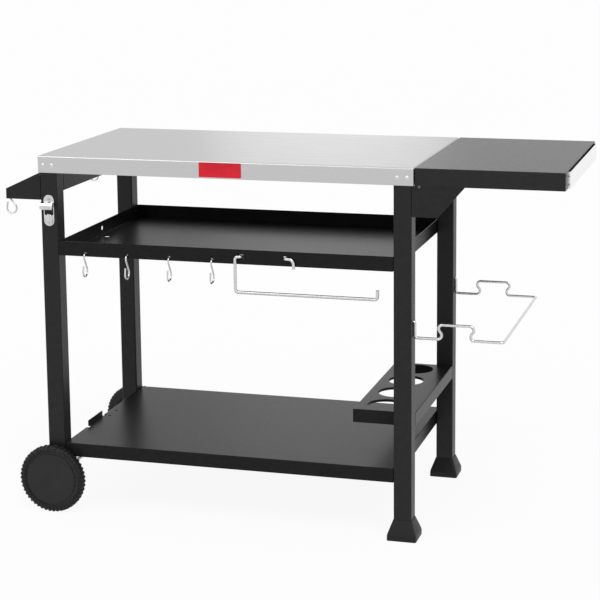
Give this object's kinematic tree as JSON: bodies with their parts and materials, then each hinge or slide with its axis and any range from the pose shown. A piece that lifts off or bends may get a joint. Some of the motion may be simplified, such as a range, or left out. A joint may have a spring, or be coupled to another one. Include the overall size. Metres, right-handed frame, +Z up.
{
  "type": "grill cart",
  "caption": "Rolling grill cart: stainless worktop on square legs, side shelf, tray, lower shelf, spice rack, push handle, wire hooks, towel holder and bag holder.",
  "frame": {"origin": "centre of the bounding box's base, on the floor under the cart", "axes": "+X to the cart's right, where the side shelf is; +Y to its back; +Z up"},
  "size_m": [1.3288, 0.58, 0.86],
  "materials": {
    "stainless": "satin",
    "black_coat": "satin",
    "plated_wire": "polished",
    "tyre": "matte",
    "black_plastic": "matte",
    "badge_red": "gloss",
    "zinc": "satin",
    "black_fastener": "satin"
  },
  "bodies": {
    "cart": {"apron_bolts": "black_fastener", "axle": "zinc", "axle_caps": "zinc", "axle_washers": "zinc", "badge_plate": "badge_red", "bottle_opener": "stainless", "bracket_bolts": "black_fastener", "bracket_front": "black_coat", "bracket_rear": "black_coat", "foot_front": "black_plastic", "foot_rear": "black_plastic", "handle_bolts": "black_fastener", "handle_grip": "black_coat", "handle_plate_front": "black_coat", "handle_plate_rear": "black_coat", "left_apron": "black_coat", "leg_front_left": "black_coat", "leg_front_right": "black_coat", "leg_nuts": "zinc", "leg_plugs": "black_plastic", "leg_rear_left": "black_coat", "leg_rear_right": "black_coat", "lip_screws": "zinc", "lower_shelf": "black_coat", "middle_tray": "black_coat", "opener_screws": "zinc", "rack_bolts": "black_fastener", "right_apron": "black_coat", "shelf_bolts": "black_fastener", "shelf_tab_screws": "zinc", "shelf_trim": "stainless", "side_shelf": "black_coat", "spice_rack": "black_coat", "table_top": "stainless", "tray_bolts": "black_fastener", "trim_rivets": "zinc"},
    "front_wheel": {"front_tyre": "tyre", "front_hub": "black_plastic", "front_hub_cover": "black_plastic"},
    "rear_wheel": {"rear_tyre": "tyre", "rear_hub": "black_plastic", "rear_hub_cover": "black_plastic"},
    "towel_holder": {"towel_holder": "plated_wire"},
    "bag_holder": {"bag_holder": "plated_wire"},
    "grip_hook_front": {"grip_hook_front": "plated_wire"},
    "grip_hook_rear": {"grip_hook_rear": "plated_wire"},
    "hook_1": {"hook_1": "plated_wire"},
    "hook_2": {"hook_2": "plated_wire"},
    "hook_3": {"hook_3": "plated_wire"},
    "hook_4": {"hook_4": "plated_wire"}
  },
  "joints": [
    {"name": "front_wheel_spin", "type": "hinge", "parent": "cart", "child": "front_wheel", "pos_m": [-0.55635, -0.276, 0.082], "axis": [0, 1, 0], "continuous": true},
    {"name": "rear_wheel_spin", "type": "hinge", "parent": "cart", "child": "rear_wheel", "pos_m": [-0.55635, 0.276, 0.082], "axis": [0, 1, 0], "continuous": true},
    {"name": "bag_holder_lift", "type": "hinge", "parent": "cart", "child": "bag_holder", "pos_m": [0.31715, 0, 0.5044], "axis": [0, -1, 0], "range_deg": [0, 30]},
    {"name": "towel_holder_swing", "type": "hinge", "parent": "cart", "child": "towel_holder", "pos_m": [-0.0301, -0.2579, 0.63855], "axis": [-1, 0, 0], "range_deg": [0, 20]},
    {"name": "hook_1_swing", "type": "hinge", "parent": "cart", "child": "hook_1", "pos_m": [-0.4636, -0.2579, 0.624], "axis": [1, 0, 0], "range_deg": [-20, 20]},
    {"name": "hook_2_swing", "type": "hinge", "parent": "cart", "child": "hook_2", "pos_m": [-0.3591, -0.2579, 0.624], "axis": [1, 0, 0], "range_deg": [-20, 20]},
    {"name": "hook_3_swing", "type": "hinge", "parent": "cart", "child": "hook_3", "pos_m": [-0.2546, -0.2579, 0.624], "axis": [1, 0, 0], "range_deg": [-20, 20]},
    {"name": "hook_4_swing", "type": "hinge", "parent": "cart", "child": "hook_4", "pos_m": [-0.1501, -0.2579, 0.624], "axis": [1, 0, 0], "range_deg": [-20, 20]},
    {"name": "grip_hook_front_swing", "type": "hinge", "parent": "cart", "child": "grip_hook_front", "pos_m": [-0.6481, -0.251, 0.7665], "axis": [0, 1, 0], "range_deg": [-30, 30]},
    {"name": "grip_hook_rear_swing", "type": "hinge", "parent": "cart", "child": "grip_hook_rear", "pos_m": [-0.6481, 0.251, 0.7665], "axis": [0, 1, 0], "range_deg": [-30, 30]}
  ]
}
